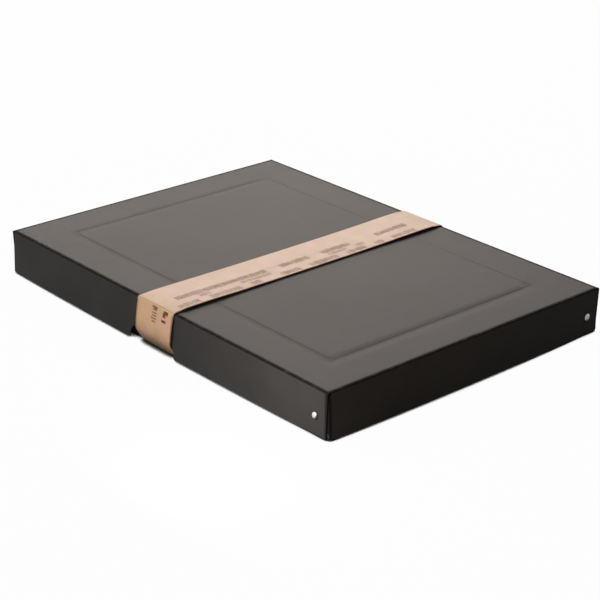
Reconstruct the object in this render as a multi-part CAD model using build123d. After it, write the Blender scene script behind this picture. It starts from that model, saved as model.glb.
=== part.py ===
from build123d import *
import os

# A flat storage box for A3 sheets, closed by a lift-off lid that covers the tray to the table.
# Tray and lid are each folded from one die-cut blank of black board. At every corner one wall turns
# inwards into a tab, the next wall lies over that tab, and a domed rivet holds the two together.
# The lid shows a pressed frame line, and its free rims have sprung outwards a little. Both of its
# long walls have a thumb notch. A paper band wraps the closed box round the middle.
# Lengths are in millimetres. X runs along the box, Y across it and Z up, from the middle of the
# lowest face. "Front" is the long side at -Y, and "right" the short side at +X.

# Board and paper
BOARD = 1.2
INNER_FOLD = 0.4
PAPER = 0.35

# Lid, outside
LID_LENGTH = 440.0
LID_WIDTH = 315.0
LID_HEIGHT = 40.0

# How far the lid's rims have sprung outwards, in the middle of a wall and at its folded end. The
# riveted end of a wall stays flat.
WALL_BOW = 3.3
FOLDED_END_SPREAD = 1.5
FLAT_END = 20.0

# Corner tabs, with the hairline gaps that folded board leaves. The free end of a wall is cut askew,
# so that the corner opens a little towards the rim.
TAB_LENGTH = 28.0
TAB_TAPER = 4.0
TAB_PLAY = 0.1
END_GAP = 0.4
END_TAPER = 1.6
CORNER_RELIEF = 0.6

# Pressed frame line on the lid
FRAME_MARGIN = 42.0
FRAME_CORNER = 2.0
GROOVE_WIDTH = 1.4
GROOVE_DEPTH = 0.45

# Thumb notches in the rims of the lid's long walls
NOTCH_WIDTH = 61.0
NOTCH_DEPTH = 13.0
NOTCH_CORNER = 9.0
NOTCH_SHOULDER = 2.5

# Rivets
HEAD_DIAMETER = 6.6
HEAD_HEIGHT = 1.4
HEAD_EDGE = 0.3
SHANK_DIAMETER = 3.0
BORE_DIAMETER = 2.0
CLINCH_DIAMETER = 5.0
CLINCH_HEIGHT = 0.8
HOLE_PLAY = 0.1
RIVET_FROM_CORNER = 14.0
RIVET_FROM_RIM = 16.0

# Paper band
BAND_WIDTH = 48.0
BAND_OFFSET = 2.5
BAND_FOLD = 1.5
BAND_PLAY = 0.5
BAND_CROWN = 2.2

# How the pieces sit in each other
SLIP = 0.1
LID_SEAT = 0.2
RIM_ABOVE_TRAY_FOOT = 0.6
WALL_PLAY = 0.4

# Worked out from the sizes above
FOLD = INNER_FOLD + BOARD
GRIP = 2 * BOARD + TAB_PLAY
WALL_GAP = BOARD + TAB_PLAY + CLINCH_HEIGHT + WALL_PLAY
TRAY_INSET = BOARD + WALL_GAP
TRAY_LENGTH = LID_LENGTH - 2 * TRAY_INSET
TRAY_WIDTH = LID_WIDTH - 2 * TRAY_INSET
TRAY_HEIGHT = LID_HEIGHT - BOARD - LID_SEAT + RIM_ABOVE_TRAY_FOOT
TRAY_FOOT = PAPER + SLIP
LID_RIM = TRAY_FOOT + RIM_ABOVE_TRAY_FOOT
LID_TOP = LID_RIM + LID_HEIGHT

# The sides of a blank, in turning order, a bowed rim's curve, and how far a cut runs past its piece.
# A cubic curve passes its middle at three quarters of the offset of its two control points.
SIDES = ("front", "right", "back", "left")
BOW_ARM = 0.22
CUBIC_MIDDLE = 0.75
LARGEST_FILLET_SHARE = 0.9
OVERSHOOT = 5.0


def side_frame(side, length, width):
    """Returns one side's span, the reach from the middle to its outer face, and its turn about Z."""
    turn = SIDES.index(side)
    span, across = (length, width) if turn % 2 == 0 else (width, length)
    return span, across / 2, Rot(0, 0, 90 * turn)


def quarter_ring(side_x, side_y):
    """Makes the section of a fold, in the quarter that lies towards the given signs of X and Y."""
    corner = Pos(side_x * FOLD / 2, side_y * FOLD / 2) * Rectangle(FOLD, FOLD)
    return (Circle(FOLD) - Circle(INNER_FOLD)) & corner


def panel_fold(span, reach):
    """Makes the fold between the flat panel and one wall."""
    start = -span / 2 + END_GAP
    end = span / 2 - FOLD - CORNER_RELIEF / 2
    section = Plane.YZ * Pos(-reach + FOLD, FOLD) * quarter_ring(-1, -1)
    return Pos(start, 0, 0) * extrude(section, amount=end - start, dir=(1, 0, 0))


def sprung_edge(start, end, across, bow, spread):
    """Draws one line of a sprung rim, from the flat end to the folded end of its wall."""
    arm = BOW_ARM * (end - start)
    pull = bow / CUBIC_MIDDLE
    return Bezier(
        (start, across),
        (start + arm, across - pull),
        (end - arm, across - pull - spread),
        (end, across - spread),
    )


def sprung_section(start, end, outer, bow, spread):
    """Draws a wall's section at one height, from its flat end to its folded end."""
    inner = outer + BOARD
    outline = [
        sprung_edge(start, end, outer, bow, spread),
        Line((end, outer - spread), (end, inner - spread)),
        sprung_edge(start, end, inner, bow, spread),
        Line((start, inner), (start, outer)),
    ]
    return make_face(outline)


def rim_reach():
    """Returns how far the widest place of the lid's rim stands outside its wall's foot."""
    return sprung_edge(0, LID_LENGTH, 0, WALL_BOW, FOLDED_END_SPREAD).bounding_box().size.Y


def flat_part(free_end, far_end, outer, height):
    """Makes the flat part of a wall, with its free end cut askew."""
    rim_end = free_end + END_TAPER
    outline = Polyline((free_end, FOLD), (far_end, FOLD), (far_end, height), (rim_end, height), close=True)
    return Pos(0, outer, 0) * extrude(Plane.XZ * make_face(outline), amount=BOARD, dir=(0, 1, 0))


def upright_wall(span, reach, height, bow, spread):
    """Makes a wall that stands on its fold and springs outwards towards its rim."""
    free_end = -span / 2 + END_GAP
    flat_end = -span / 2 + FLAT_END
    folded_end = span / 2 - BOARD - TAB_PLAY - FOLD
    outer = -reach
    if not bow:
        return flat_part(free_end, folded_end, outer, height)
    # Foot and rim are the same kind of curve, so that the faces between them can be cut cleanly.
    foot = Pos(0, 0, FOLD) * sprung_section(flat_end, folded_end, outer, 0, 0)
    rim = Pos(0, 0, height) * sprung_section(flat_end, folded_end, outer, bow, spread)
    return flat_part(free_end, flat_end, outer, height) + loft([foot, rim], ruled=True)


def corner_tab(span, reach, height, spread):
    """Makes the upright fold at a wall's folded end, and the tapered tab behind the next wall."""
    outer = span / 2 - BOARD - TAB_PLAY
    low = FOLD + CORNER_RELIEF
    low_lean = spread * (low - FOLD) / (height - FOLD)
    root, tip = -reach + FOLD, -reach + TAB_LENGTH
    section = Pos(outer - FOLD, root) * quarter_ring(1, -1)
    fold = loft([Pos(0, -low_lean, low) * section, Pos(0, -spread, height) * section], ruled=True)
    outline = Polyline(
        (root - low_lean, low),
        (tip, low + TAB_TAPER),
        (tip, height - TAB_TAPER),
        (root - spread, height),
        close=True,
    )
    tab = extrude(Plane.YZ * make_face(outline), amount=BOARD, dir=(1, 0, 0))
    return fold + Pos(outer - BOARD, 0, 0) * tab


def rivet_place(span, reach, height):
    """Returns the place on a wall's outer face where its rivet's head sits, pointing inwards."""
    return Pos(-span / 2 + RIVET_FROM_CORNER, -reach, height - RIVET_FROM_RIM) * Rot(-90, 0, 0)


def folded_board(length, width, height, bow, spread):
    """Makes one folded blank, open at the top: a panel, four walls and four tabs, with rivet holes."""
    panel_length, panel_width = length - 2 * FOLD, width - 2 * FOLD
    board = Pos(0, 0, BOARD / 2) * Box(panel_length, panel_width, BOARD)
    hole = Cylinder(SHANK_DIAMETER / 2 + HOLE_PLAY, 2 * (GRIP + OVERSHOOT))
    holes = []
    for side in SIDES:
        span, reach, turn = side_frame(side, length, width)
        board += turn * panel_fold(span, reach)
        board += turn * upright_wall(span, reach, height, bow, spread)
        board += turn * corner_tab(span, reach, height, spread)
        holes.append(turn * rivet_place(span, reach, height) * hole)
    return board - holes


def rivet():
    """Makes a semi-tubular rivet along Z: a domed head below zero, a shank, and a rolled end."""
    head, shank = HEAD_DIAMETER / 2, SHANK_DIAMETER / 2
    bore, clinch = BORE_DIAMETER / 2, CLINCH_DIAMETER / 2
    outline = [
        Line((0, BOARD / 2), (0, -HEAD_HEIGHT)),
        TangentArc((0, -HEAD_HEIGHT), (head, -HEAD_EDGE), tangent=(1, 0)),
        Polyline((head, -HEAD_EDGE), (head, 0), (shank, 0), (shank, GRIP), (clinch, GRIP)),
        ThreePointArc((clinch, GRIP), ((clinch + bore) / 2, GRIP + CLINCH_HEIGHT), (bore, GRIP)),
        Polyline((bore, GRIP), (bore, BOARD / 2), (0, BOARD / 2)),
    ]
    return revolve(Plane.XZ * make_face(outline), axis=Axis.Z)


def rivets(length, width, height):
    """Makes the four rivets of a folded blank, in the order of its sides."""
    places = []
    for side in SIDES:
        span, reach, turn = side_frame(side, length, width)
        places.append(turn * rivet_place(span, reach, height))
    return [place * rivet() for place in places]


def frame_line():
    """Makes the ring of board that is pressed in on the outer face of the lid's panel."""
    length, width = LID_LENGTH - 2 * FRAME_MARGIN, LID_WIDTH - 2 * FRAME_MARGIN
    outer = RectangleRounded(length + GROOVE_WIDTH, width + GROOVE_WIDTH, FRAME_CORNER + GROOVE_WIDTH / 2)
    inner = RectangleRounded(length - GROOVE_WIDTH, width - GROOVE_WIDTH, FRAME_CORNER - GROOVE_WIDTH / 2)
    return extrude(outer - inner, amount=GROOVE_DEPTH)


def thumb_notches():
    """Makes what is cut from the rims of both long walls: a flat arch, run on past the rims."""
    side = NOTCH_WIDTH / 2
    crown = LID_HEIGHT - NOTCH_DEPTH
    beyond = LID_HEIGHT + OVERSHOOT
    corner = min(NOTCH_CORNER, LARGEST_FILLET_SHARE * (NOTCH_DEPTH - NOTCH_SHOULDER))
    arch = FilletPolyline((-side, beyond), (-side, crown), (side, crown), (side, beyond), radius=corner)
    closing = Line((side, beyond), (-side, beyond))
    through = LID_WIDTH / 2 + rim_reach() + OVERSHOOT
    return extrude(Plane.XZ * make_face([*arch.edges(), closing]), amount=through, both=True)


def lid_blank():
    """Makes the lid's folded blank, open at the top, with its frame line and its two notches."""
    board = folded_board(LID_LENGTH, LID_WIDTH, LID_HEIGHT, WALL_BOW, FOLDED_END_SPREAD)
    board = board - frame_line() - thumb_notches()
    across_rims = board.edges().filter_by(Axis.Y).group_by(Axis.Z)[-1]
    notch_corners = across_rims.sort_by(lambda edge: abs(edge.center().X))[:4]
    return fillet(notch_corners, NOTCH_SHOULDER)


def band_loop(inset):
    """Makes the outline across the box that lies a distance inside the band's outer face."""
    clear = BAND_PLAY + PAPER - inset
    foot = LID_WIDTH / 2 + rim_reach() + clear
    shoulder = LID_WIDTH / 2 + clear
    top = LID_TOP + clear
    legs = Polyline((-shoulder, top), (-foot, inset), (foot, inset), (shoulder, top))
    crown = ThreePointArc((shoulder, top), (0, top + BAND_CROWN), (-shoulder, top))
    loop = make_face([*legs.edges(), crown])
    return fillet(loop.vertices().group_by(Axis.Y)[-1], BAND_FOLD + PAPER - inset)


def band():
    """Makes the paper band, as the part over the lid and the strip under the tray."""
    section = band_loop(0) - band_loop(PAPER)
    start = BAND_OFFSET - BAND_WIDTH / 2
    loop = Pos(start, 0, 0) * extrude(Plane.YZ * section, amount=BAND_WIDTH, dir=(1, 0, 0))
    parting = Plane.XY.offset(PAPER)
    return loop.split(parting, keep=Keep.TOP), loop.split(parting, keep=Keep.BOTTOM)


def main():
    """Builds every piece and writes each to its own file."""
    tray_place = Pos(0, 0, TRAY_FOOT)
    lid_place = Pos(0, 0, LID_TOP) * Rot(180, 0, 0)
    over_lid, under_tray = band()
    pieces = {
        "tray_board": tray_place * folded_board(TRAY_LENGTH, TRAY_WIDTH, TRAY_HEIGHT, 0, 0),
        "lid_board": lid_place * lid_blank(),
        "band_over_lid": over_lid,
        "band_under_tray": under_tray,
    }
    # Turning the lid over swaps its front and back.
    lid_sides = ("back", "right", "front", "left")
    for side, piece in zip(SIDES, rivets(TRAY_LENGTH, TRAY_WIDTH, TRAY_HEIGHT)):
        pieces[f"tray_rivet_{side}"] = tray_place * piece
    for side, piece in zip(lid_sides, rivets(LID_LENGTH, LID_WIDTH, LID_HEIGHT)):
        pieces[f"lid_rivet_{side}"] = lid_place * piece
    os.makedirs("parts", exist_ok=True)
    for name, piece in pieces.items():
        export_step(piece, f"parts/{name}.step")


main()
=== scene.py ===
"""Looks of a folded board storage box with a paper band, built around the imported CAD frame.

The lid and the tray keep their CAD meshes and get board materials. The rivets, the paper band and
the print on the band are finer pieces that stand for their CAD nodes or ride on them.
"""

import logging
import math
from collections.abc import Callable
from dataclasses import dataclass, field
from enum import Enum

import bpy
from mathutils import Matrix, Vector


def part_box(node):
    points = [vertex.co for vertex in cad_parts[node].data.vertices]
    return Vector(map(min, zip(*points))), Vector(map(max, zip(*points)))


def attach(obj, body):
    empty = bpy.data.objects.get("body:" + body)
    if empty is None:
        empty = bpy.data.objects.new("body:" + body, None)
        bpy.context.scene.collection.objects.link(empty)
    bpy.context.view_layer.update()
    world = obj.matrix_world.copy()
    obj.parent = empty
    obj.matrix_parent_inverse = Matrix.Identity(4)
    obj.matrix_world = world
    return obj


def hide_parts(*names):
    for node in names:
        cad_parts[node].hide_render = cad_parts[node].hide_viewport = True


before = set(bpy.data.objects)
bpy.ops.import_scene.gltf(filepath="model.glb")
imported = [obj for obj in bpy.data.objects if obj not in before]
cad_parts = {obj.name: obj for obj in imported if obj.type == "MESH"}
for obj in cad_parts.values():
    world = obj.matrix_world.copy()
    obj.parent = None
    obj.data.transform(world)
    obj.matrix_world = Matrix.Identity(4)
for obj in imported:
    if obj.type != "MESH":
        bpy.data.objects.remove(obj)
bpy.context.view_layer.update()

LOG = logging.getLogger("storage_box")
MM = 0.001
WHITE = (1.0, 1.0, 1.0, 1.0)
Colour = tuple[float, float, float]
Names = tuple[str, ...]
Place = tuple[float, float, float]
Material = bpy.types.Material
Mesh = bpy.types.Mesh
Object = bpy.types.Object
Tree = bpy.types.NodeTree


class Side(Enum):
    """The four walls, each with its turn about Z from the front wall, in degrees."""

    FRONT = 0
    RIGHT = 90
    BACK = 180
    LEFT = 270


def operator(operation: str, other_first: bool = False) -> Callable:
    """Makes an operator of Value that adds a Math node.

    Args:
        operation: What the node does.
        other_first: Whether the value on the other side comes first.

    Returns:
        The operator.
    """

    def method(self: "Value", other: object) -> "Value":
        """Adds the node and returns its output."""
        pair = (other, self) if other_first else (self, other)
        return self.graph.math(operation, *pair)

    return method


@dataclass(frozen=True, eq=False)
class Value:
    """An output of a node of a graph, which takes part in sums as a number does."""

    graph: "Graph"
    socket: bpy.types.NodeSocket
    __add__ = __radd__ = operator("ADD")
    __sub__ = operator("SUBTRACT")
    __rsub__ = operator("SUBTRACT", other_first=True)
    __mul__ = __rmul__ = operator("MULTIPLY")
    __truediv__ = operator("DIVIDE")

    def __abs__(self) -> "Value":
        """Returns the value without its sign."""
        return self.graph.math("ABSOLUTE", self)


@dataclass(frozen=True)
class Graph:
    """Adds and joins the nodes of one node tree."""

    tree: Tree

    def feed(self, sockets: object, values: dict) -> None:
        """Joins outputs to inputs, or writes plain values on them.

        Args:
            sockets: The inputs.
            values: Names or numbers of inputs, with a Value or a plain value for each.
        """
        for key, value in values.items():
            if isinstance(value, Value):
                self.tree.links.new(value.socket, sockets[key])
            else:
                sockets[key].default_value = value

    def add(self, kind: str, feeds: dict | None = None, **settings: object) -> bpy.types.Node:
        """Adds one node.

        Args:
            kind: The node's type name.
            feeds: Names or numbers of its inputs, with what each gets.
            settings: Values for the node's own properties.

        Returns:
            The new node.
        """
        node = self.tree.nodes.new(kind)
        for name, value in settings.items():
            setattr(node, name, value)
        self.feed(node.inputs, feeds or {})
        return node

    def get(self, kind: str, feeds: dict | None = None, output: int | str = 0, **settings: object) -> Value:
        """Adds one node as add does, and returns one of its outputs, the first if none is named."""
        return Value(self, self.add(kind, feeds, **settings).outputs[output])

    def math(self, operation: str, a: object, b: object = 0.0, clamp: bool = False) -> Value:
        """Adds a Math node on one or two values."""
        return self.get("ShaderNodeMath", {0: a, 1: b}, operation=operation, use_clamp=clamp)

    def parts(self, vector: Value) -> list[Value]:
        """Returns a vector's X, Y and Z."""
        return [Value(self, part) for part in self.add("ShaderNodeSeparateXYZ", {0: vector}).outputs]

    def vector(self, x: object = 0.0, y: object = 0.0, z: object = 0.0) -> Value:
        """Returns the vector that three values make."""
        return self.get("ShaderNodeCombineXYZ", {0: x, 1: y, 2: z})

    def group(self, tree: Tree, feeds: dict) -> dict[str, Value]:
        """Adds a node group and returns its outputs by name."""
        node = self.add("ShaderNodeGroup", feeds, node_tree=tree)
        return {output.name: Value(self, output) for output in node.outputs}

    def shade(self, values: dict, strength: float, depth: float, height: Value) -> None:
        """Feeds the material's shader, and gives it a relief of a strength and a depth."""
        bump = self.get("ShaderNodeBump", {"Strength": strength, "Distance": depth, "Height": height})
        self.feed(self.tree.nodes["Principled BSDF"].inputs, {**values, "Normal": bump})

    def vector_math(self, operation: str, a: Value, b: object) -> Value:
        """Adds a Vector Math node on two vectors."""
        return self.get("ShaderNodeVectorMath", {0: a, 1: b}, operation=operation)

    def span(self, value: Value, low: float, high: float, to_low: float = 0.0, to_high: float = 1.0) -> Value:
        """Maps low to to_low and high to to_high, smoothly in between and level beyond."""
        feeds = dict(enumerate((value, low, high, to_low, to_high)))
        return self.get("ShaderNodeMapRange", feeds, interpolation_type="SMOOTHSTEP")

    def noise(self, place: Value, scale: object, detail: float, roughness: float = 0.5) -> Value:
        """Returns a noise from 0 to 1, with as many features in a metre as scale says."""
        feeds = {"Vector": place, "Scale": scale, "Detail": detail, "Roughness": roughness}
        return self.get("ShaderNodeTexNoise", feeds)

    def blend(self, share: object, a: object, b: object, how: str = "MIX") -> Value:
        """Mixes a share of colour b into colour a. Plain colours come without alpha."""
        a, b = [colour if isinstance(colour, Value) else (*colour, 1.0) for colour in (a, b)]
        return self.get("ShaderNodeMix", {0: share, 6: a, 7: b}, 2, data_type="RGBA", blend_type=how)

    def clouded(self, mottle: Value, colour: Colour, darkest: float, lightest: float) -> Value:
        """Clouds a colour between two factors of it."""
        pair = [tuple(min(c * factor, 1.0) for c in colour) for factor in (darkest, lightest)]
        return self.blend(self.span(mottle, 0.3, 0.7), *pair)


def node_group(family: str, name: str, inputs: dict, outputs: dict) -> tuple[Tree, Graph, dict, dict]:
    """Starts a node group.

    Args:
        family: Shader or Geometry.
        name: The group's name.
        inputs: Input names, with a socket kind for each.
        outputs: Output names, with a socket kind for each.

    Returns:
        The tree, its graph, its input values by name, and its output sockets by name.
    """
    tree = bpy.data.node_groups.new(name, f"{family}NodeTree")
    for way, sockets in (("INPUT", inputs), ("OUTPUT", outputs)):
        for key, kind in sockets.items():
            tree.interface.new_socket(key, in_out=way, socket_type=f"NodeSocket{kind}")
    graph = Graph(tree)
    source, end = graph.add("NodeGroupInput"), graph.add("NodeGroupOutput")
    into = {key: Value(graph, source.outputs[key]) for key in inputs}
    return tree, graph, into, {key: end.inputs[key] for key in outputs}


def mask_group(name: str, sizes: Names, masks: Names) -> tuple[Tree, Graph, dict, dict]:
    """Starts a shader group that turns a place and some numbers into masks, as node_group does."""
    inputs = {"Vector": "Vector", **dict.fromkeys(sizes, "Float")}
    return node_group("Shader", name, inputs, dict.fromkeys(masks, "Float"))


def fibre_grain_group() -> Tree:
    """Builds the grain of pressed board or paper: cloudy mottle, fine grain and stray fibres.

    Returns:
        The group, with the outputs Mottle, Grain, Fibre and Height, each from 0 to 1.
    """
    scales = ("Mottle Scale", "Grain Scale", "Fibre Scale")
    tree, graph, into, out = mask_group("fibre_grain", scales, ("Mottle", "Grain", "Fibre", "Height"))
    place = into["Vector"]
    mottle = graph.noise(place, into["Mottle Scale"], 3.0, 0.6)
    grain = graph.noise(place, into["Grain Scale"], 2.0, 0.55)
    # A fibre is where a wandering value passes its middle: a thin, curling line.
    wander, middle, fibre_width = graph.noise(place, into["Fibre Scale"], 1.0, 0.4), 0.5, 0.012
    thin = graph.span(abs(wander - middle), 0.0, fibre_width, 1.0, 0.0)
    fibre = thin * graph.span(graph.noise(place, into["Grain Scale"], 0.0), 0.5, 0.62)
    height = grain * 0.7 + fibre * 0.3
    graph.feed(out, {"Mottle": mottle, "Grain": grain, "Fibre": fibre, "Height": height})
    return tree


def fold_lines_group() -> Tree:
    """Builds the mask of painted shade on the folds and corners of a box-shaped piece, broken up unevenly,
    and the mask of worn specks along them.

    Returns:
        The group, with the outputs Mask and Scuff, from 0 to 1.
    """
    sizes = ("Half Length", "Half Width", "Fold Height", "Reach")
    tree, graph, into, out = mask_group("fold_lines", sizes, ("Mask", "Scuff"))
    x, y, z = graph.parts(into["Vector"])
    off_x = abs(abs(x) - into["Half Length"])
    off_y = abs(abs(y) - into["Half Width"])
    # Height counts more than distance along the panel, so that the line is narrower on the walls.
    height_weight = 3.2
    below = abs(z - into["Fold Height"]) * height_weight
    nearest = graph.math("MINIMUM", off_x + off_y, off_y + below)
    nearest = graph.math("MINIMUM", nearest, off_x + below)
    near = graph.span(nearest / into["Reach"], 0.4, 1.0, 1.0, 0.0)
    uneven = graph.noise(into["Vector"], 140.0, 4.0, 0.65)
    worn = near * graph.span(uneven, 0.62, 0.7)
    graph.feed(out, {"Mask": near * graph.span(uneven, 0.3, 0.55, 0.55, 1.0), "Scuff": worn})
    return tree


def open_corners_group() -> Tree:
    """Builds the mask of painted shade on the upright folds that lie deep in the slits at a folded blank's
    corners.

    Each slit lies between a wall's free end and the next wall's fold. The folds go round the corners
    one way, so the wall that they belong to follows from the sign of X times Y.

    Returns:
        The group, with the output Mask, from 0 to 1.
    """
    tree, graph, into, out = mask_group("open_corners", ("Half Length", "Half Width"), ("Mask",))
    x, y, _ = graph.parts(into["Vector"])
    on_width = graph.math("GREATER_THAN", x * y, 0.0)
    inside_x = into["Half Length"] - abs(x)
    inside_y = into["Half Width"] - abs(y)
    masks = []
    for along, across, picked in ((inside_x, inside_y, on_width), (inside_y, inside_x, 1.0 - on_width)):
        begun = graph.span(along, 0.4 * MM, 0.8 * MM)
        ended = graph.span(along, 2.6 * MM, 4.4 * MM, 1.0, 0.0)
        shallow = graph.span(across, 2.4 * MM, 3.2 * MM, 1.0, 0.0)
        masks.append(begun * ended * shallow * picked)
    graph.feed(out, {"Mask": graph.math("ADD", *masks, clamp=True)})
    return tree


def frame_line_group() -> Tree:
    """Builds the soft mask of a rectangular line that is pressed into a panel.

    Returns:
        The group, with the output Mask, from 0 to 1, which is strongest on the right and weakest on
        the far side.
    """
    outline = {"Vector": "Vector", "Shift": "Vector"}
    sizes = dict.fromkeys(("Half Length", "Half Width", "Reach"), "Float")
    tree, graph, into, out = node_group("Shader", "frame_line", {**outline, **sizes}, {"Mask": "Float"})
    x, y, _ = graph.parts(graph.vector_math("SUBTRACT", into["Vector"], into["Shift"]))
    outside = graph.math("MAXIMUM", abs(x) - into["Half Length"], abs(y) - into["Half Width"])
    near = graph.span(abs(outside) / into["Reach"], 0.15, 1.0, 1.0, 0.0)
    stronger = graph.span(into["Half Length"] - x, 4 * MM, 12 * MM, 0.55, 0.0)
    weaker = graph.span(into["Half Width"] - y, 4 * MM, 12 * MM, 0.38, 0.0)
    uneven = graph.span(graph.noise(into["Vector"], 38.0, 3.0, 0.6), 0.36, 0.62, -0.12, 0.12)
    graph.feed(out, {"Mask": graph.math("MULTIPLY", near, uneven + 0.36 + stronger - weaker, clamp=True)})
    return tree


@dataclass
class Finishes:
    """The shader node groups that the materials share, each built once."""

    grain: Tree = field(default_factory=fibre_grain_group)
    folds: Tree = field(default_factory=fold_lines_group)
    corners: Tree = field(default_factory=open_corners_group)
    frame_line: Tree = field(default_factory=frame_line_group)

    def start(self, name: str, scales: Colour) -> tuple[Material, Graph, Value, dict[str, Value]]:
        """Starts a material on object coordinates.

        Args:
            name: The material's name.
            scales: The scales of its mottle, its grain and its fibres.

        Returns:
            The material, its graph, the object coordinates and the grain's outputs.
        """
        material = bpy.data.materials.new(name)
        material.use_nodes = True
        graph = Graph(material.node_tree)
        place = graph.get("ShaderNodeTexCoord", output="Object")
        feeds = dict(zip(("Mottle Scale", "Grain Scale", "Fibre Scale"), scales))
        return material, graph, place, graph.group(self.grain, {"Vector": place, **feeds})


@dataclass(frozen=True)
class BoardFinish:
    """Matt board, dyed through, with fine fibres, and with painted shade on the folds and in the open
    corners.

    Attributes:
        fold_height: Z of the folds between the panel and the walls.
        frame_margin: How far inside the folds the pressed line runs, or 0 if there is none.
        line_gloss: Shift, reach and change of roughness of the pressed line and of the shine beside it.
    """

    name: str
    half_length: float
    half_width: float
    fold_height: float
    frame_margin: float = 0.0
    colour: Colour = (0.0265, 0.0242, 0.0228)
    fleck: Colour = (0.052, 0.048, 0.045)
    # The colour of the painted shade on the folds and in the open corners.
    shade: Colour = (0.004, 0.0035, 0.003)
    scuff: Colour = (0.11, 0.105, 0.1)
    roughness: float = 0.52
    specular: float = 0.08
    grain_scales: Colour = (14.0, 1500.0, 420.0)
    relief: tuple[float, float] = (0.12, 0.2 * MM)
    fibre_share: float = 0.35
    grain_share: float = 0.16
    scuff_share: float = 0.3
    fold_reach: float = 4.6 * MM
    fold_darkness: float = 0.9
    fold_roughness: float = 0.42
    corner_darkness: float = 0.92
    line_gloss: tuple[tuple[Colour, float, float], ...] = (
        ((-1.9 * MM, -0.5 * MM, 0.0), 7 * MM, 0.075),
        ((6 * MM, -6 * MM, 0.0), 5 * MM, -0.035),
    )

    def material(self, finishes: Finishes) -> Material:
        """Builds the material.

        Args:
            finishes: The shared node groups.

        Returns:
            The material.
        """
        material, graph, place, grain = finishes.start(self.name, self.grain_scales)
        box = {"Vector": place, "Half Length": self.half_length, "Half Width": self.half_width}
        fold_feeds = {**box, "Fold Height": self.fold_height, "Reach": self.fold_reach}
        folds = graph.group(finishes.folds, fold_feeds)
        # Painted shade: the folds and the deep slits in the open corners are darkened in the colour.
        in_corners = graph.group(finishes.corners, box)["Mask"] * self.corner_darkness
        dark = graph.math("MAXIMUM", folds["Mask"] * self.fold_darkness, in_corners)
        rough = graph.span(grain["Grain"], 0.25, 0.75, self.roughness - 0.05, self.roughness + 0.05)
        rough += graph.span(grain["Mottle"], 0.3, 0.7, -0.01, 0.01)
        if self.frame_margin:
            line = {**box, **{key: box[key] - self.frame_margin for key in ("Half Length", "Half Width")}}
            for shift, reach, change in self.line_gloss:
                shine = graph.group(finishes.frame_line, {**line, "Shift": shift, "Reach": reach})
                rough += shine["Mask"] * change
        body = graph.clouded(grain["Mottle"], self.colour, 0.86, 1.16)
        flecked = graph.blend(grain["Fibre"] * self.fibre_share, body, self.fleck)
        grains = graph.span(grain["Grain"], 0.3, 0.7, 0.0, self.grain_share)
        grained = graph.blend(grains, flecked, self.fleck)
        shaded = graph.blend(dark, grained, self.shade)
        values = {
            "Base Color": graph.blend(folds["Scuff"] * self.scuff_share, shaded, self.scuff),
            "Roughness": rough + dark * self.fold_roughness,
            "Specular IOR Level": self.specular,
        }
        graph.shade(values, *self.relief, grain["Height"])
        return material


@dataclass(frozen=True)
class KraftFinish:
    """Uncoated brown paper with cloudy shade and short fibres, and with painted shade at the feet and along
    the edges of its legs.

    Attributes:
        left: X of the band's left edge, as right is of its right edge.
        leg_reach: How far from the middle the band's legs lie.
        soil_heights: Z where the painted shade at the legs' feet is full, and where it ends.
        edge_widths: How far inside an edge the painted shade along it is full, and where it ends.
    """

    left: float
    right: float
    leg_reach: float
    leg_top: float = 40.5 * MM
    name: str = "kraft_paper"
    colour: Colour = (0.53, 0.312, 0.185)
    fibre: Colour = (0.25, 0.135, 0.08)
    pale: Colour = (0.60, 0.43, 0.31)
    rosy: Colour = (0.56, 0.3, 0.22)
    yellowish: Colour = (0.5, 0.33, 0.15)
    # The colour of the painted shade at the legs' feet.
    soiled: Colour = (0.115, 0.08, 0.028)
    # The colour of the painted shade along the legs' edges.
    edge: Colour = (0.16, 0.06, 0.035)
    roughness: float = 0.46
    specular: float = 0.355
    grain_scales: Colour = (45.0, 1100.0, 260.0)
    relief: tuple[float, float] = (0.15, 0.2 * MM)
    fibre_share: float = 0.5
    grain_share: float = 0.2
    drift_scale: float = 95.0
    drift_share: float = 0.6
    soil_heights: tuple[float, float] = (6 * MM, 29 * MM)
    soil_share: float = 0.85
    edge_widths: tuple[float, float] = (0.4 * MM, 2.4 * MM)
    edge_share: float = 0.7

    def material(self, finishes: Finishes) -> Material:
        """Builds the material.

        Args:
            finishes: The shared node groups.

        Returns:
            The material.
        """
        material, graph, place, grain = finishes.start(self.name, self.grain_scales)
        body = graph.clouded(grain["Mottle"], self.colour, 0.86, 1.1)
        long_way = graph.vector_math("MULTIPLY", place, (1.0, 0.3, 1.0))
        drift = graph.noise(long_way, self.drift_scale, 3.0, 0.6)
        hue = graph.blend(graph.span(drift, 0.38, 0.62), self.rosy, self.yellowish)
        drifting = graph.blend(self.drift_share, body, hue)
        flecked = graph.blend(grain["Fibre"] * self.fibre_share, drifting, self.fibre)
        grains = graph.span(grain["Grain"], 0.3, 0.72, 0.0, self.grain_share)
        grained = graph.blend(grains, flecked, self.pale)
        # Painted shade: the legs are darker at their feet, down in the notches, and along their edges.
        x, y, z = graph.parts(place)
        outside = graph.span(abs(y), self.leg_reach - 3 * MM, self.leg_reach)
        on_leg = outside * graph.span(z, self.leg_top - 2.5 * MM, self.leg_top, 1.0, 0.0)
        low = graph.span(z + grain["Mottle"] * (8 * MM), *self.soil_heights, self.soil_share, 0.0)
        inside = graph.math("MINIMUM", x - self.left, self.right - x)
        near_edge = graph.span(inside, *self.edge_widths, self.edge_share, 0.0)
        soiled = graph.blend(low * on_leg, grained, self.soiled)
        values = {
            "Base Color": graph.blend(near_edge * on_leg, soiled, self.edge),
            "Roughness": graph.span(grain["Grain"], 0.25, 0.75, self.roughness - 0.05, self.roughness + 0.08),
            "Specular IOR Level": self.specular,
        }
        graph.shade(values, *self.relief, grain["Height"])
        return material


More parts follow.
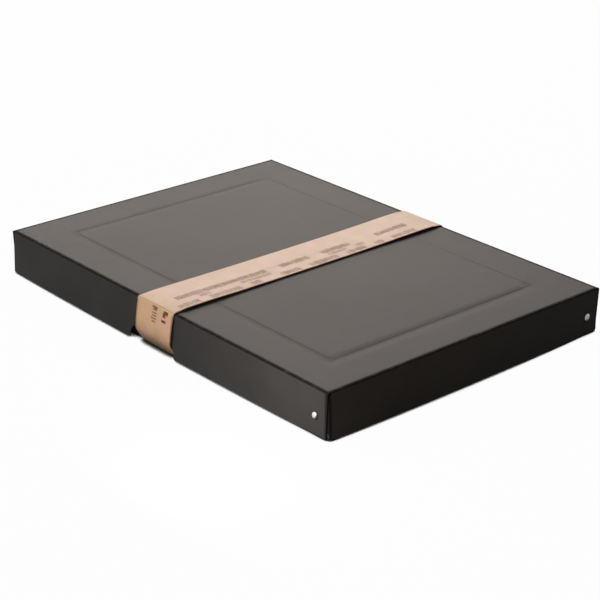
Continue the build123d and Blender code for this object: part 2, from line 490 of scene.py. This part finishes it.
@dataclass(frozen=True)
class MetalFinish:
    """Rivet metal with fine scratches, and with painted shade on the lower part of the head."""

    name: str = "rivet_metal"
    colour: Colour = (0.5, 0.5, 0.49)
    tarnish: Colour = (0.035, 0.034, 0.032)
    grain_scales: Colour = (500.0, 6000.0, 900.0)
    relief: tuple[float, float] = (0.08, 0.1 * MM)

    def material(self, finishes: Finishes) -> Material:
        """Builds the material.

        Args:
            finishes: The shared node groups.

        Returns:
            The material.
        """
        material, graph, _, grain = finishes.start(self.name, self.grain_scales)
        head_shade = graph.get("ShaderNodeAttribute", output="Fac", attribute_name="head_shade")
        # Painted shade towards the head's lower right rim, and random dull patches, both in the darker
        # colour.
        edge = graph.span(head_shade, 0.18, 0.42, 0.0, 0.97)
        dull = graph.span(grain["Mottle"], 0.4, 0.75, 0.0, 0.25)
        values = {
            "Base Color": graph.blend(graph.math("MAXIMUM", edge, dull), self.colour, self.tarnish),
            "Roughness": graph.span(grain["Grain"], 0.3, 0.7, 0.54, 0.66),
            "Metallic": 1.0,
        }
        graph.shade(values, *self.relief, grain["Fibre"])
        return material


@dataclass(frozen=True)
class InkFinish:
    """Print that has soaked into the paper unevenly."""

    name: str
    colour: Colour
    faded: Colour
    specular: float = 0.16
    grain_scales: Colour = (260.0, 2600.0, 700.0)

    def material(self, finishes: Finishes) -> Material:
        """Builds the material.

        Args:
            finishes: The shared node groups.

        Returns:
            The material.
        """
        material, graph, _, grain = finishes.start(self.name, self.grain_scales)
        uneven = graph.span(grain["Mottle"], 0.35, 0.7)
        values = {
            "Base Color": graph.blend(uneven, self.colour, self.faded),
            "Roughness": graph.span(grain["Grain"], 0.3, 0.7, 0.5, 0.65),
            "Specular IOR Level": self.specular,
        }
        graph.feed(graph.tree.nodes["Principled BSDF"].inputs, values)
        return material


def geometry_group(name: str, sizes: Names, counts: Names) -> tuple[Tree, Graph, dict, dict]:
    """Starts a tree that reads a geometry, sizes, counts and a material, as node_group does."""
    numbers = {**dict.fromkeys(sizes, "Float"), **dict.fromkeys(counts, "Int"), "material": "Material"}
    return node_group("Geometry", name, {"Geometry": "Geometry", **numbers}, {"Geometry": "Geometry"})


def object_with(name: str, data: bpy.types.ID) -> Object:
    """Adds an object at the origin.

    Args:
        name: The object's name.
        data: The mesh, the lamp or the camera that it holds.

    Returns:
        The object.
    """
    made = bpy.data.objects.new(name, data)
    bpy.context.scene.collection.objects.link(made)
    return made


def evaluated_copy(source: Object, name: str) -> Object:
    """Copies an object as its modifiers leave it.

    Args:
        source: The object.
        name: The copy's name.

    Returns:
        A new object with a plain mesh.
    """
    graph = bpy.context.evaluated_depsgraph_get()
    graph.update()
    mesh = bpy.data.meshes.new_from_object(source.evaluated_get(graph), depsgraph=graph)
    mesh.name = name
    return object_with(name, mesh)


def grown(source: Object, tree: Tree, values: dict, name: str) -> Object:
    """Runs a Geometry Nodes tree on an object.

    Args:
        source: The object that the tree reads. It is left without the modifier.
        tree: The Geometry Nodes tree.
        values: Input names, with a value for each. Names that the tree doesn't have are passed over.
        name: The new object's name.

    Returns:
        A new object with the result as a plain mesh.
    """
    modifier = source.modifiers.new(tree.name, "NODES")
    modifier.node_group = tree
    for item in tree.interface.items_tree:
        if item.in_out == "INPUT" and item.name in values:
            modifier[item.identifier] = values[item.name]
    made = evaluated_copy(source, name)
    source.modifiers.remove(modifier)
    return made


def rivet_head(graph: Graph, into: dict[str, Value]) -> Value:
    """Makes a rivet's head, with its painted shade as an attribute.

    Args:
        graph: The rivet tree's graph.
        into: Its inputs by name.

    Returns:
        The head, which faces -Y from the wall at Y = 0.
    """
    # The head is a grid whose X runs round the rivet and whose Y runs from the dome's top to its underside.
    rows, dome_share = 17, 0.75
    grid = graph.get("GeometryNodeMeshGrid", {0: 1.0, 1: 1.0, 2: into["segments"] + 1.0, 3: rows})
    x, y, _ = graph.parts(graph.get("GeometryNodeInputPosition"))
    angle, run = x * (2 * math.pi), y + 0.5
    dome = graph.math("MINIMUM", run / dome_share, 1.0)
    rest = graph.math("MAXIMUM", (run - dome_share) / (1.0 - dome_share), 0.0) * 2.0
    wall = graph.math("MINIMUM", rest, 1.0)
    under = graph.math("MAXIMUM", rest - 1.0, 0.0)
    arc = dome * (math.pi / 2)
    radius = into["head_diameter"] * 0.5 * (graph.math("SINE", arc) * (1.0 - under))
    above = (into["head_height"] - into["head_edge"]) * graph.math("COSINE", arc)
    height = above + into["head_edge"] * (1.0 - wall)
    cosine, sine = graph.math("COSINE", angle), graph.math("SINE", angle)
    # Painted shade, darker towards the rim, most of all below and to the right.
    head_shade = dome * ((cosine - sine) * 0.55 + 0.5)
    marked = graph.get("GeometryNodeStoreNamedAttribute", {0: grid, "Name": "head_shade", "Value": head_shade})
    turned = graph.vector(radius * cosine, height * -1.0, radius * sine)
    moved = graph.get("GeometryNodeSetPosition", {"Geometry": marked, "Position": turned})
    return graph.get("GeometryNodeMergeByDistance", {"Geometry": moved, "Distance": 1e-7})


def rivet_tree() -> Tree:
    """Builds the tree that sets a semi-tubular rivet on each point, turned by the point's turn.

    Returns:
        The tree.
    """
    head_sizes = ("head_diameter", "head_height", "head_edge")
    tube_sizes = ("shank_diameter", "grip", "clinch_diameter", "bore_diameter")
    tree, graph, into, out = geometry_group("rivet_set", head_sizes + tube_sizes, ("segments",))
    segments, grip = into["segments"], into["grip"]
    head = rivet_head(graph, into)

    # The shank, and the tube's end that is rolled outwards over the inner board.
    shank_feeds = {"Vertices": segments, "Radius": into["shank_diameter"] * 0.5, "Depth": grip}
    shank = graph.get("GeometryNodeMeshCylinder", shank_feeds)
    middle_radius = (into["clinch_diameter"] + into["bore_diameter"]) * 0.25
    roll_radius = (into["clinch_diameter"] - into["bore_diameter"]) * 0.25
    ring = graph.get("GeometryNodeCurvePrimitiveCircle", {"Resolution": segments, "Radius": middle_radius})
    roll = graph.get("GeometryNodeCurvePrimitiveCircle", {"Resolution": 12, "Radius": roll_radius})
    clinch = graph.get("GeometryNodeCurveToMesh", {0: ring, 1: roll})

    joined = graph.add("GeometryNodeJoinGeometry", {0: head})
    for part, depth in ((shank, grip * 0.5), (clinch, grip)):
        feeds = {"Geometry": part, "Translation": graph.vector(y=depth), "Rotation": (-math.pi / 2, 0.0, 0.0)}
        graph.feed(joined.inputs, {0: graph.get("GeometryNodeTransform", feeds)})
    turn = graph.get("GeometryNodeInputNamedAttribute", {"Name": "turn"}, data_type="FLOAT")
    rivet = Value(graph, joined.outputs[0])
    set_feeds = {"Points": into["Geometry"], "Instance": rivet, "Rotation": graph.vector(z=turn)}
    rivets = graph.get("GeometryNodeInstanceOnPoints", set_feeds)
    real = graph.get("GeometryNodeRealizeInstances", {0: rivets})
    smooth = graph.get("GeometryNodeSetShadeSmooth", {0: real})
    dressed = graph.get("GeometryNodeSetMaterial", {"Geometry": smooth, "Material": into["material"]})
    graph.feed(out, {"Geometry": dressed})
    return tree


@dataclass
class RivetSet:
    """The four rivets of one folded blank.

    Attributes:
        body: The body that the rivets ride on.
        prefix: What the CAD nodes' names start with.
    """

    name: str
    body: str
    prefix: str
    head_diameter: float = 6.6 * MM
    head_height: float = 1.4 * MM
    head_edge: float = 0.3 * MM
    shank_diameter: float = 3.0 * MM
    grip: float = 2.5 * MM
    clinch_diameter: float = 5.0 * MM
    bore_diameter: float = 2.0 * MM
    segments: int = 40

    def build(self, tree: Tree, metal: Material) -> Object:
        """Builds the rivets, each on its wall's outer face, and puts them on their body.

        Args:
            tree: The rivet tree, whose inputs have the names of the sizes above.
            metal: The rivets' material.

        Returns:
            The piece.
        """
        places, turns = [], []
        for side in Side:
            low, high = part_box(f"{self.prefix}_{side.name.lower()}")
            middle = (low + high) / 2
            turn = math.radians(side.value)
            outwards = Vector((math.sin(turn), -math.cos(turn), 0.0))
            reach = max(abs((corner - middle).dot(outwards)) for corner in (low, high))
            places.append(middle + outwards * (reach - self.head_height))
            turns.append(turn)
        points = bpy.data.meshes.new(f"{self.name}_points")
        points.from_pydata(places, [], [])
        points.attributes.new("turn", "FLOAT", "POINT").data.foreach_set("value", turns)
        carrier = object_with(points.name, points)
        piece = grown(carrier, tree, {**vars(self), "material": metal}, self.name)
        bpy.data.objects.remove(carrier)
        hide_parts(*[f"{self.prefix}_{side.name.lower()}" for side in Side])
        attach(piece, self.body)
        return piece


def rounded_path(corners: list[Place], run_steps: int, arc_steps: int) -> list[Vector]:
    """Rounds the corners of a path in the YZ plane.

    Args:
        corners: Y, Z and corner radius of each point; the radius of the two ends isn't used.
        run_steps: Steps on each straight run.
        arc_steps: Steps on each corner.

    Returns:
        The points of the rounded path, as many for any corners.
    """
    points = [Vector((0.0, y, z)) for y, z, _ in corners]
    path: list[Vector] = []
    start = points[0]
    for back, corner, ahead, (_, _, radius) in zip(points, points[1:], points[2:], corners[1:]):
        before, after = (back - corner).normalized(), (ahead - corner).normalized()
        trim = radius * math.tan((math.pi - before.angle(after)) / 2)
        entry, leave = corner + before * trim, corner + after * trim
        path += [start.lerp(entry, step / run_steps) for step in range(run_steps)]
        for step in range(arc_steps):
            share = step / arc_steps
            path.append(entry.lerp(corner, share).lerp(corner.lerp(leave, share), share))
        start = leave
    path += [start.lerp(points[-1], step / run_steps) for step in range(run_steps + 1)]
    return path


@dataclass
class PaperBand:
    """The paper band: its upper part over the lid, down both walls to the tray's foot, and its lower strip.

    A reach is a distance from the middle, and a rise a distance off the lid.

    Attributes:
        foot_taper: How much narrower it is at its feet than between left and right on the lid.
        notch_reach: Where its legs bend into the notches, at the height of notch_crown.
        lid_top: Z of its middle layer on the lid.
        front_rise: The rise before its front fold, of which its right edge has front_tilt more.
        path_length: The length of the sheet that was made last.
    """

    left: float = -21.5 * MM
    right: float = 28.5 * MM
    foot_taper: float = 2.0 * MM
    thickness: float = 0.3 * MM
    foot_reach: float = 154.15 * MM
    foot_height: float = 0.3 * MM
    notch_reach: float = 161.8 * MM
    notch_crown: float = 12.5 * MM
    fold_reach: float = 157.95 * MM
    lid_top: float = 41.36 * MM
    front_rise: float = 1.9 * MM
    back_rise: float = 3.1 * MM
    right_rise: float = 0.9 * MM
    front_tilt: float = 0.25
    back_tilt: float = -0.05
    leg_bulge: float = 0.6 * MM
    notch_bend: float = 7.0 * MM
    fold_bend: float = 1.6 * MM
    columns: int = 32
    run_steps: int = 24
    arc_steps: int = 8
    path_length: float = field(default=0.0, init=False)

    def section(self, share: float) -> list[Vector]:
        """Finds the upper part's path at a share of the width, from the front foot to the back foot.

        Args:
            share: 0 at the band's left edge and 1 at its right edge.

        Returns:
            The points, with Y and Z only.
        """
        front = [
            (-self.foot_reach, self.foot_height, 0.0),
            (-self.notch_reach, self.notch_crown, self.notch_bend),
            (-self.fold_reach, self.lid_top, self.fold_bend),
        ]
        back = [(-y, z, radius) for y, z, radius in reversed(front)]
        path = rounded_path(front + back, self.run_steps, self.arc_steps)
        edge = abs(2 * share - 1) ** 3
        for point in path:
            level = point.z
            if level > self.lid_top - 0.2 * MM:
                point.z += self.rise(point.y, share)
            elif level > self.notch_crown:
                part = (level - self.notch_crown) / (self.lid_top - self.notch_crown)
                swell = math.sin(math.pi * min(part, 1.0)) * self.leg_bulge * (0.5 + 0.5 * edge)
                point.y += math.copysign(swell, point.y)
        return path

    def rise(self, y: float, share: float) -> float:
        """Finds how far the paper stands off the lid: it rises before each fold and at its right edge.

        Args:
            y: Where on the lid.
            share: 0 at the band's left edge and 1 at its right edge.

        Returns:
            The rise, in metres.
        """
        near_fold = min(abs(y) / self.fold_reach, 1.0)
        swell = near_fold**2.5 * (1 - near_fold**14)
        most, tilt = (self.back_rise, self.back_tilt) if y > 0 else (self.front_rise, self.front_tilt)
        ripple = 0.1 * MM * math.sin(23 * near_fold + 5 * share)
        lifted = (self.right_rise * share**1.6 + ripple * share) * (1 - near_fold**12)
        return most * swell * (0.75 + tilt * share) + lifted

    def sheet(self, name: str, sections: list[list[Vector]]) -> Mesh:
        """Builds a sheet from one path for each column, with a UV map from 0 to 1 both ways.

        Args:
            name: The mesh's name.
            sections: The paths, from the left edge to the right one.

        Returns:
            The sheet's mesh, without thickness, with its face outwards.
        """
        rows, last = len(sections[0]), len(sections) - 1
        middle = sections[len(sections) // 2]
        runs = [0.0]
        for a, b in zip(middle, middle[1:]):
            runs.append(runs[-1] + (b - a).length)
        self.path_length = runs[-1]
        places = []
        for column, path in enumerate(sections):
            for _, y, z in path:
                taper = self.foot_taper * (1 - min(z / self.lid_top, 1.0))
                places.append((self.left + (self.right - taper - self.left) * (column / last), y, z))
        faces = [
            (c * rows + r, (c + 1) * rows + r, (c + 1) * rows + r + 1, c * rows + r + 1)
            for c in range(last)
            for r in range(rows - 1)
        ]
        mesh = bpy.data.meshes.new(name)
        mesh.from_pydata(places, [], faces)
        layer = mesh.uv_layers.new(name="UVMap")
        for loop in mesh.loops:
            column, row = divmod(loop.vertex_index, rows)
            layer.data[loop.index].uv = (column / last, runs[row] / runs[-1])
        mesh.shade_smooth()
        mesh.update()
        return mesh

    def thickened(self, name: str, mesh: Mesh, paper: Material) -> Object:
        """Gives a sheet its thickness and its material.

        Args:
            name: The piece's name.
            mesh: The sheet.
            paper: The material.

        Returns:
            The piece.
        """
        mesh.materials.append(paper)
        carrier = object_with(f"{name}_sheet", mesh)
        solid = carrier.modifiers.new("thickness", "SOLIDIFY")
        solid.thickness = self.thickness
        solid.offset = 0.0
        made = evaluated_copy(carrier, name)
        bpy.data.objects.remove(carrier)
        return made

    def upper_mesh(self) -> Mesh:
        """Builds the upper part's sheet."""
        shares = [column / self.columns for column in range(self.columns + 1)]
        return self.sheet("upper_band_sheet", [self.section(share) for share in shares])

    def lower_mesh(self) -> Mesh:
        """Builds the strip's sheet under the tray, from the back foot to the front one, facing down.

        Returns:
            The sheet.
        """
        flat = self.thickness / 2 + 0.02 * MM
        half = [(self.foot_reach - 0.1 * MM, 0.28 * MM, 0.0), (self.foot_reach - 1.2 * MM, flat, 2.0 * MM)]
        corners = half + [(-y, z, radius) for y, z, radius in reversed(half)]
        return self.sheet("lower_band_sheet", [rounded_path(corners, self.run_steps, 3)] * (self.columns + 1))

    def build(self, paper: Material) -> list[Object]:
        """Builds both parts and puts them on their bodies.

        Args:
            paper: The material.

        Returns:
            The lower strip and the upper part.
        """
        lower = self.thickened("paper_band_under_tray", self.lower_mesh(), paper)
        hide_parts("band_under_tray")
        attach(lower, "lower_band")
        upper = self.thickened("paper_band_over_lid", self.upper_mesh(), paper)
        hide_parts("band_over_lid")
        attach(upper, "upper_band")
        return [lower, upper]


def print_row_tree() -> Tree:
    """Builds the tree that prints one row of plain bars on a sheet, by the sheet's UV map.

    Returns:
        The tree.
    """
    row_sizes = ("across", "start", "pitch", "bar_width", "bar_height", "word_length", "word_gaps")
    sheet_sizes = ("sheet_width", "sheet_length", "lift")
    tree, graph, into, out = geometry_group("printed_row", row_sizes + sheet_sizes, ("count", "seed"))
    line = graph.get("GeometryNodeMeshLine", {"Count": into["count"], "Offset": graph.vector(into["pitch"])})
    word = graph.math("FLOOR", graph.get("GeometryNodeInputIndex") / into["word_length"])
    chance = {"Probability": into["word_gaps"], "ID": word, "Seed": into["seed"]}
    missing = graph.get("FunctionNodeRandomValue", chance, output=3, data_type="BOOLEAN")
    kept = graph.get("GeometryNodeDeleteGeometry", {"Geometry": line, "Selection": missing}, domain="POINT")
    size_feeds = {"Min": (0.45, 0.6, 1.0), "Max": (1.0, 1.0, 1.0), "Seed": into["seed"]}
    size = graph.get("FunctionNodeRandomValue", size_feeds, data_type="FLOAT_VECTOR")
    scale = graph.vector_math("MULTIPLY", size, graph.vector(into["bar_width"], into["bar_height"], 1.0))
    bar = graph.get("GeometryNodeMeshGrid", {0: 1.0, 1: 1.0, 2: 3, 3: 5})
    bars = graph.get("GeometryNodeInstanceOnPoints", {"Points": kept, "Instance": bar, "Scale": scale})
    real = graph.get("GeometryNodeRealizeInstances", {0: bars})
    x, y, _ = graph.parts(graph.get("GeometryNodeInputPosition"))
    spot = graph.vector(y / into["sheet_width"] + into["across"], x / into["sheet_length"] + into["start"])
    atlas = graph.get("GeometryNodeInputNamedAttribute", {"Name": "UVMap"}, data_type="FLOAT_VECTOR")
    found = []
    for kind in ("GeometryNodeInputPosition", "GeometryNodeInputNormal"):
        feeds = {"Mesh": into["Geometry"], "Value": graph.get(kind), "UV Map": atlas, "Sample UV": spot}
        found.append(graph.get("GeometryNodeSampleUVSurface", feeds, data_type="FLOAT_VECTOR"))
    raised = graph.get("ShaderNodeVectorMath", {0: found[1], "Scale": into["lift"]}, operation="SCALE")
    above = graph.vector_math("ADD", found[0], raised)
    laid = graph.get("GeometryNodeSetPosition", {"Geometry": real, "Position": above})
    dressed = graph.get("GeometryNodeSetMaterial", {"Geometry": laid, "Material": into["material"]})
    graph.feed(out, {"Geometry": dressed})
    return tree


@dataclass(frozen=True)
class PrintRow:
    """One row of plain bars on the band, with its five sizes in millimetres.

    Attributes:
        across: X of the row's middle.
        start: How far along the band from its front foot the row starts.
        bar_width: The widest bar's size along the row, as bar_height is across it.
        count: How many bars there are before any are left out.
        word_length: How many bars are kept or left out together.
        word_gaps: The share of the bars that are left out.
    """

    name: str
    ink: str
    across: float
    start: float
    pitch: float
    bar_width: float
    bar_height: float
    count: int
    seed: int
    word_length: int = 1
    word_gaps: float = 0.0


@dataclass
class BandPrint:
    """Rows of plain bars where the band carries print."""

    band: PaperBand
    lift: float = 0.19 * MM
    rows: tuple[PrintRow, ...] = (
        PrintRow("printed_row_middle", "print_pale", 7.0, 62, 1.5, 1.8, 8.6, 180, 4, 11, 0.36),
        PrintRow("printed_row_edge", "print_grey", 22.4, 54, 1.6, 1.6, 7.6, 172, 9, 7, 0.42),
        PrintRow("printed_row_inner", "print_pale", 14.6, 60, 1.6, 1.6, 5.4, 166, 12, 7, 0.7),
        PrintRow("printed_column_front", "print_brown", 3.0, 28.5, 2.6, 1.9, 7.6, 6, 2),
        PrintRow("printed_head_front", "print_dark", 4.4, 40.6, 2.0, 3.0, 6.0, 1, 3),
        PrintRow("printed_mark_fold", "print_dark", 18.4, 40.4, 2.0, 3.4, 6.6, 1, 6),
        PrintRow("printed_mark_leg", "print_dark", 16.6, 32.5, 5.4, 4.8, 6.6, 2, 8),
    )

    def build(self, tree: Tree, inks: dict[str, Material]) -> list[Object]:
        """Prints each row and puts it on the band.

        Args:
            tree: The print row tree, whose inputs have the names of a row's sizes.
            inks: The inks by name.

        Returns:
            One piece for each row.
        """
        pieces = []
        carrier = object_with("print_carrier", self.band.upper_mesh())
        width, length = self.band.right - self.band.left, self.band.path_length
        sheet = {"sheet_width": width, "sheet_length": length, "lift": self.lift}
        for row in self.rows:
            values = {**vars(row), **sheet, "material": inks[row.ink]}
            values["across"] = (row.across * MM - self.band.left) / width
            values["start"] = row.start * MM / length
            for key in ("pitch", "bar_width", "bar_height"):
                values[key] *= MM
            piece = grown(carrier, tree, values, row.name)
            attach(piece, "upper_band")
            pieces.append(piece)
        bpy.data.objects.remove(carrier)
        return pieces


@dataclass
class FoldedBoards:
    """The lid and the tray, which keep their CAD meshes and get their board.

    Attributes:
        lid_half_length: Half the lid's length over its folds, where the bow of its walls doesn't count.
        frame_margin: How far inside the lid's folds the pressed line runs.
    """

    lid_half_length: float = 220.0 * MM
    lid_half_width: float = 157.5 * MM
    frame_margin: float = 42.0 * MM
    # Painted shade: the tray's board is darker than the lid's, standing in for the shade in the notches where
    # it shows.
    tray_colour: Colour = (0.0125, 0.0115, 0.0108)

    def build(self, finishes: Finishes) -> list[Object]:
        """Dresses both boards.

        Args:
            finishes: The shared node groups.

        Returns:
            The two CAD nodes and the pressed line's floor.
        """
        lid_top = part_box("lid_board")[1].z
        tray_low, tray_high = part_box("tray_board")
        halves, margin = (self.lid_half_length, self.lid_half_width), self.frame_margin
        tray = (tray_high.x, tray_high.y, tray_low.z)
        boards = (
            BoardFinish("lid_board", *halves, lid_top, margin),
            BoardFinish("tray_board", *tray, colour=self.tray_colour),
        )
        pieces = []
        for board in boards:
            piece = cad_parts[board.name]
            piece.data.materials.clear()
            piece.data.materials.append(board.material(finishes))
            pieces.append(piece)
        line = PressedLine(*[half - margin for half in halves], lid_top)
        return [*pieces, line.build(pieces[0].data.materials[0])]


@dataclass
class PressedLine:
    """The pressed line's rounded floor, which fills the square groove up to a shallow dish.

    Attributes:
        top: Z of the lid's face.
        corner: The radius of its corners.
        depth: How much deeper the dish is in the middle than edge_depth.
        base_depth: How deep the strip's underside lies.
    """

    half_length: float
    half_width: float
    top: float
    corner: float = 2.0 * MM
    half_groove: float = 0.68 * MM
    depth: float = 0.11 * MM
    edge_depth: float = 0.02 * MM
    base_depth: float = 0.4 * MM
    arc_steps: int = 6

    def path(self) -> list[tuple[Vector, Vector]]:
        """Goes all the way round the line.

        Returns:
            The line's places, each with its outward direction.
        """
        found = []
        for turn, (x, y) in enumerate(((1, 1), (-1, 1), (-1, -1), (1, -1))):
            middle = Vector((x * (self.half_length - self.corner), y * (self.half_width - self.corner), 0.0))
            for step in range(self.arc_steps + 1):
                angle = (turn + step / self.arc_steps) * math.pi / 2
                outward = Vector((math.cos(angle), math.sin(angle), 0.0))
                found.append((middle + outward * self.corner, outward))
        return found

    def build(self, board: Material) -> Object:
        """Builds the strip as a closed tube and puts it on the lid.

        Args:
            board: The lid's material.

        Returns:
            The strip.
        """
        shares = (-1.0, -0.6, -0.2, 0.2, 0.6, 1.0)
        section = [(s * self.half_groove, -self.edge_depth - self.depth * (1 - s * s)) for s in shares]
        section += [(side * self.half_groove, -self.base_depth) for side in (1, -1)]
        path = self.path()
        places = [
            place + outward * aside + Vector((0.0, 0.0, self.top + down))
            for place, outward in path
            for aside, down in section
        ]
        around, count = len(section), len(path)
        faces = []
        for here in range(count):
            row, next_row = here * around, (here + 1) % count * around
            for j in range(around):
                k = (j + 1) % around
                faces.append((row + j, row + k, next_row + k, next_row + j))
        mesh = bpy.data.meshes.new("pressed_line_floor")
        mesh.from_pydata(places, [], faces)
        mesh.materials.append(board)
        mesh.update()
        piece = object_with("pressed_line_floor", mesh)
        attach(piece, "lid")
        return piece


@dataclass(frozen=True)
class Softbox:
    """One soft lamp, with lengths in metres and its power in watts."""

    name: str
    place: Place
    size: tuple[float, float]
    power: float
    tint: Colour = (1.0, 1.0, 1.0)
    aim: Place = (0.0, 0.0, 0.0)

    def hang(self) -> None:
        """Adds the lamp to the scene."""
        data = bpy.data.lights.new(self.name, "AREA")
        data.shape = "RECTANGLE"
        data.size, data.size_y = self.size
        data.energy = self.power
        data.color = self.tint
        lamp = object_with(self.name, data)
        lamp.location = self.place
        lamp.rotation_euler = (Vector(self.aim) - Vector(self.place)).to_track_quat("-Z", "Y").to_euler()
        lamp.visible_camera = False


@dataclass
class Studio:
    """The floor, the lamps, the surroundings and the camera.

    Attributes:
        seen_white: How white the floor looks to the camera, as glossy_white is in gloss.
        fill: The strength of the soft light from all round.
        notch_reach: How far the floor looks for the box above it.
    """

    camera_place: Place = (1.08744, -0.9437, 0.63414)
    camera_turn: Place = (66.2281, -0.3912, 49.0409)
    lens: float = 104.178
    floor_half: float = 6.0
    floor_level: float = -0.2 * MM
    floor_colour: Colour = (0.55, 0.55, 0.55)
    seen_white: float = 0.98
    glossy_white: float = 0.3
    fill: float = 0.005
    notch_reach: float = 11 * MM
    lamps: tuple[Softbox, ...] = (
        Softbox("back_softbox", (-3.25, 2.45, 1.85), (3.2, 2.0), 102.0, tint=(1.0, 0.9, 0.83)),
        Softbox("high_softbox", (-1.25, 1.0, 1.24), (1.0, 0.7), 9.5, tint=(1.0, 0.9, 0.83)),
        Softbox("left_softbox", (-1.5, -2.2, 1.0), (1.6, 1.2), 59.0),
        Softbox("near_lamp", (0.2, -0.3, 0.07), (0.05, 0.08), 0.28, aim=(0.2, -0.16, 0.02)),
        Softbox("right_softbox", (0.9, -0.5, 0.22), (0.3, 0.3), 0.9, tint=(1.0, 0.78, 0.54)),
    )

    def camera(self) -> None:
        """Sets up the camera at the photograph's place and angle."""
        data = bpy.data.cameras.new("camera")
        data.lens = self.lens
        data.clip_start, data.clip_end = 0.05, 50.0
        made = object_with("camera", data)
        made.location = self.camera_place
        made.rotation_euler = [math.radians(angle) for angle in self.camera_turn]
        bpy.context.scene.camera = made

    def seen_share(self, graph: Graph, share: float, glossy: float) -> Value:
        """Finds how white a surface looks to each kind of ray.

        Args:
            graph: The material's or the world's graph.
            share: How white it is to the camera and through glass.
            glossy: How white it is in gloss.

        Returns:
            The share, and 0 for the rays that light the object.
        """
        rays = graph.add("ShaderNodeLightPath").outputs
        kinds = ("Camera", "Transmission", "Glossy")
        camera, through, gloss = [Value(graph, rays[f"Is {kind} Ray"]) for kind in kinds]
        return graph.math("MAXIMUM", graph.math("MAXIMUM", camera, through) * share, gloss * glossy)

    def floor(self) -> None:
        """Lays a pale floor that looks white and keeps the box's shadow."""
        material = bpy.data.materials.new("floor")
        material.use_nodes = True
        graph, nodes = Graph(material.node_tree), material.node_tree.nodes
        cloud = graph.noise(graph.get("ShaderNodeTexCoord", output="Object"), 3.0, 2.0)
        # Deep in the notches the floor keeps the box's shadow in full.
        sky_feeds = {"Distance": self.notch_reach}
        open_sky = graph.get("ShaderNodeAmbientOcclusion", sky_feeds, "AO", samples=16)
        open_share = graph.span(open_sky, 0.44, 0.6)
        shade = graph.span(cloud, 0.3, 0.7, 0.98, 1.0) * graph.span(open_sky, 0.34, 0.48, 0.03, 1.0)
        colour = graph.blend(1.0, self.floor_colour, shade, "MULTIPLY")
        shader = nodes["Principled BSDF"]
        graph.feed(shader.inputs, {"Base Color": colour, "Roughness": 0.9, "Specular IOR Level": 0.1})
        glow = graph.get("ShaderNodeEmission", {"Color": WHITE, "Strength": 1.0})
        # In gloss the floor is darker, since the part next to the box lies in the box's shadow.
        white = self.seen_share(graph, self.seen_white, self.glossy_white) * open_share
        mixed = graph.get("ShaderNodeMixShader", {0: white, 1: Value(graph, shader.outputs[0]), 2: glow})
        graph.feed(nodes["Material Output"].inputs, {"Surface": mixed})
        half, level = self.floor_half, self.floor_level
        mesh = bpy.data.meshes.new("floor")
        corners = [(-half, -half, level), (half, -half, level), (half, half, level), (-half, half, level)]
        mesh.from_pydata(corners, [], [(0, 1, 2, 3)])
        mesh.materials.append(material)
        object_with("floor", mesh)

    def surroundings(self) -> None:
        """Makes the world white where it is seen, and a weaker soft light elsewhere."""
        world = bpy.data.worlds.new("surroundings")
        world.use_nodes = True
        bpy.context.scene.world = world
        graph = Graph(world.node_tree)
        seen = self.seen_share(graph, 1.0 - self.fill, 1.0 - self.fill)
        graph.feed(world.node_tree.nodes["Background"].inputs, {"Color": WHITE, "Strength": seen + self.fill})

    def build(self) -> None:
        """Builds the whole studio."""
        self.camera()
        self.floor()
        self.surroundings()
        for lamp in self.lamps:
            lamp.hang()
        bpy.context.scene.view_settings.view_transform = "Standard"


def main() -> None:
    """Builds every piece in order."""
    logging.basicConfig(level=logging.INFO, format="%(name)s: %(message)s")
    finishes = Finishes()
    pieces = FoldedBoards().build(finishes)
    rivets, metal = rivet_tree(), MetalFinish().material(finishes)
    for owner in ("tray", "lid"):
        pieces.append(RivetSet(f"{owner}_rivets", owner, f"{owner}_rivet").build(rivets, metal))
    band = PaperBand()
    paper = KraftFinish(band.left, band.right - band.foot_taper / 2, band.foot_reach)
    pieces += band.build(paper.material(finishes))
    inks = (
        InkFinish("print_pale", (0.3, 0.185, 0.12), (0.44, 0.27, 0.17), 0.21),
        InkFinish("print_grey", (0.27, 0.165, 0.12), (0.42, 0.26, 0.17), 0.2),
        InkFinish("print_dark", (0.09, 0.036, 0.018), (0.17, 0.085, 0.05)),
        InkFinish("print_brown", (0.17, 0.09, 0.045), (0.3, 0.17, 0.09)),
    )
    inked = {ink.name: ink.material(finishes) for ink in inks}
    pieces += BandPrint(band).build(print_row_tree(), inked)
    Studio().build()


if __name__ == "__main__":
    main()
